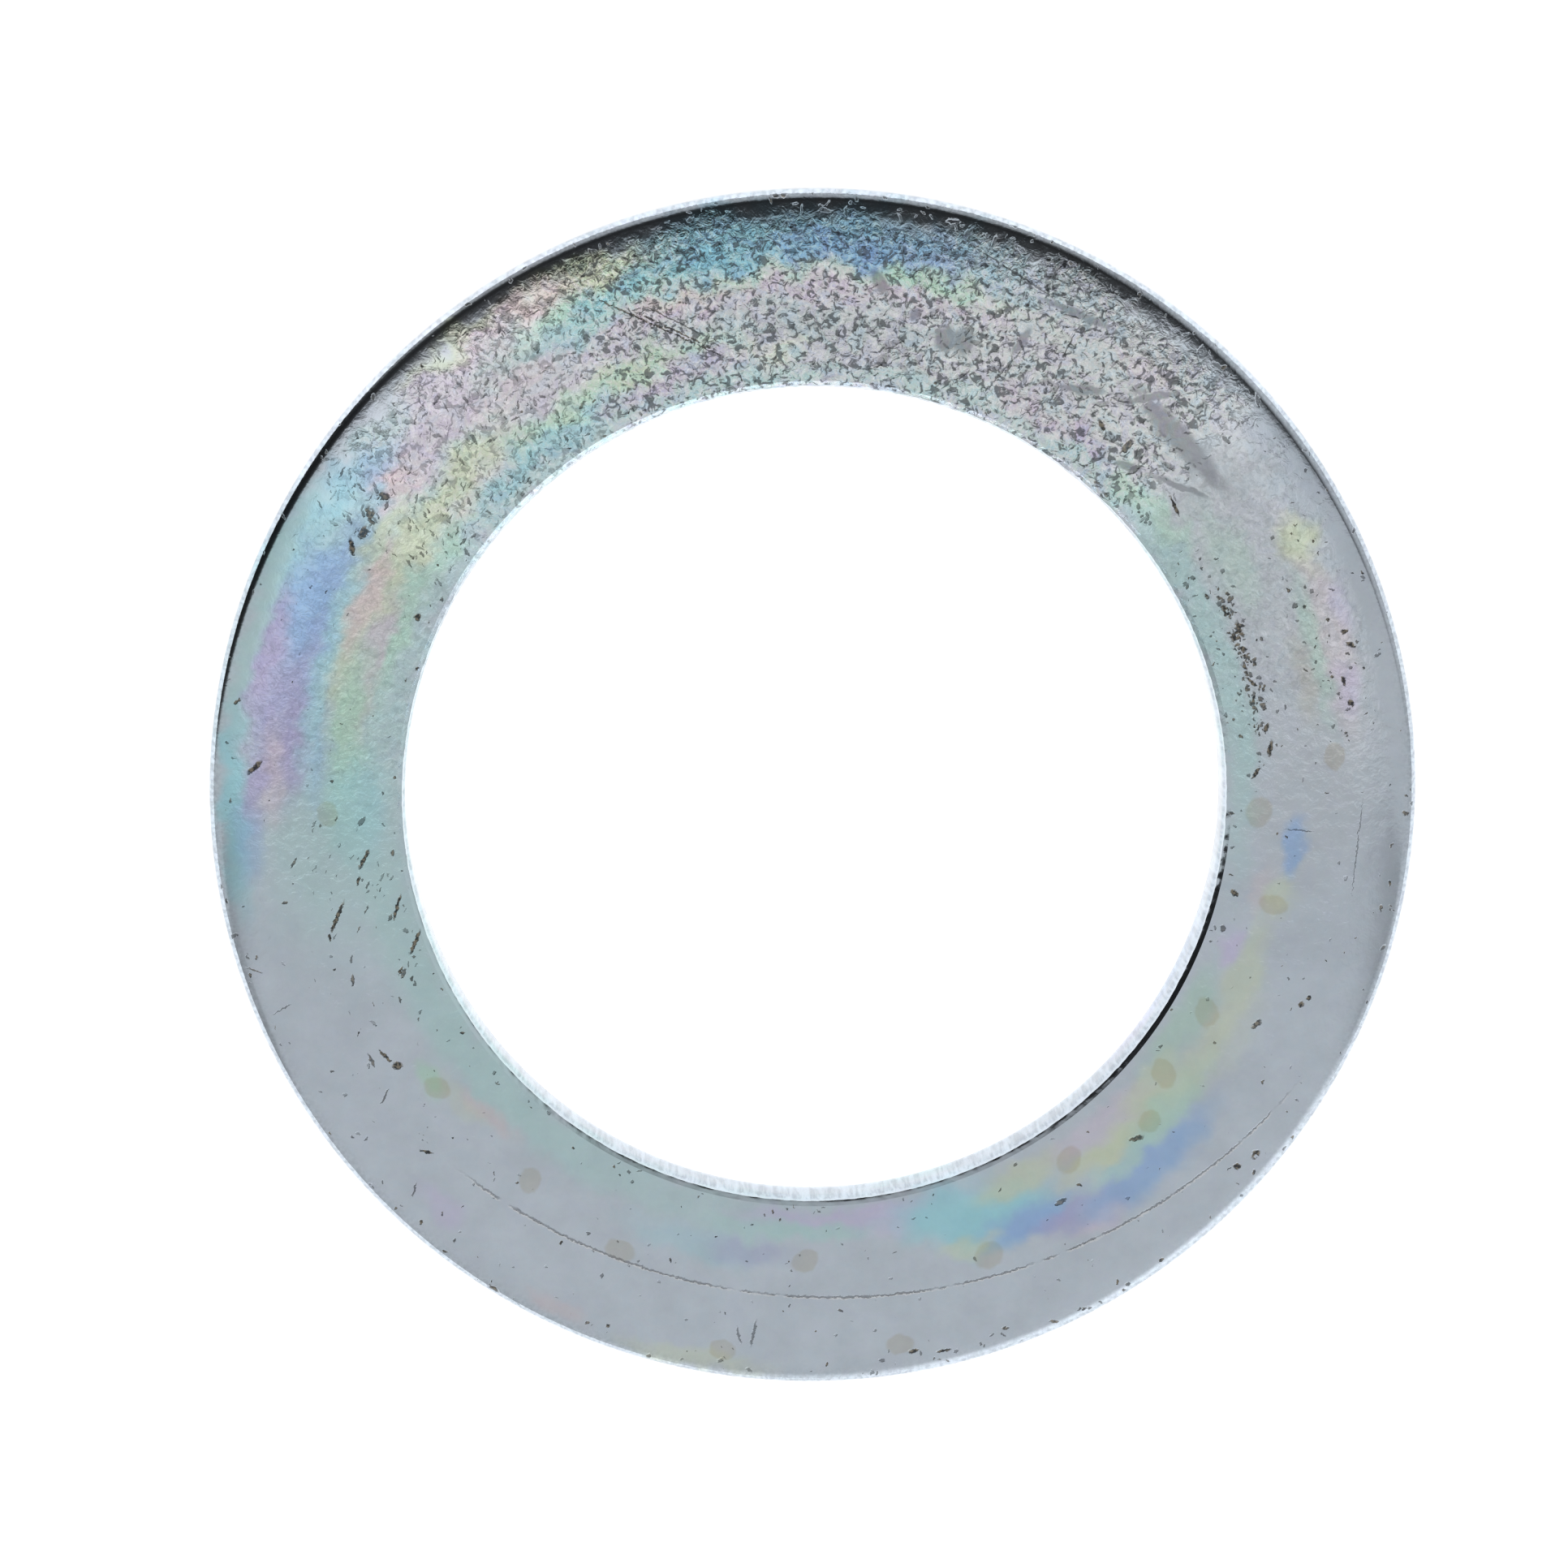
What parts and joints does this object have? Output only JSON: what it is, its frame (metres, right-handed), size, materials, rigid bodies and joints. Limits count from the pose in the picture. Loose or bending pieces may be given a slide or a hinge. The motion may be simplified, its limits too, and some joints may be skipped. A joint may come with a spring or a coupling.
{
  "type": "flat washer",
  "caption": "Flat ring washer blanked from zinc-plated sheet steel, for a 25.4 mm shaft: 38.1 mm across, 1.9 mm thick, die-rolled outer edge.",
  "frame": {"origin": "centre of the bore on the lower bearing face", "axes": "+Z along the bore axis, from the lower bearing face to the upper face with the die-rolled rim; X and Y lie in the bearing face and any direction may be X, because the washer is round"},
  "size_m": [0.0381, 0.038, 0.0019],
  "materials": {
    "washer": "bright zinc plate with a blue iridescent passivate, fine wrinkled grain, small stains and nicks"
  },
  "bodies": {
    "root": {"washer": "washer"}
  },
  "joints": []
}
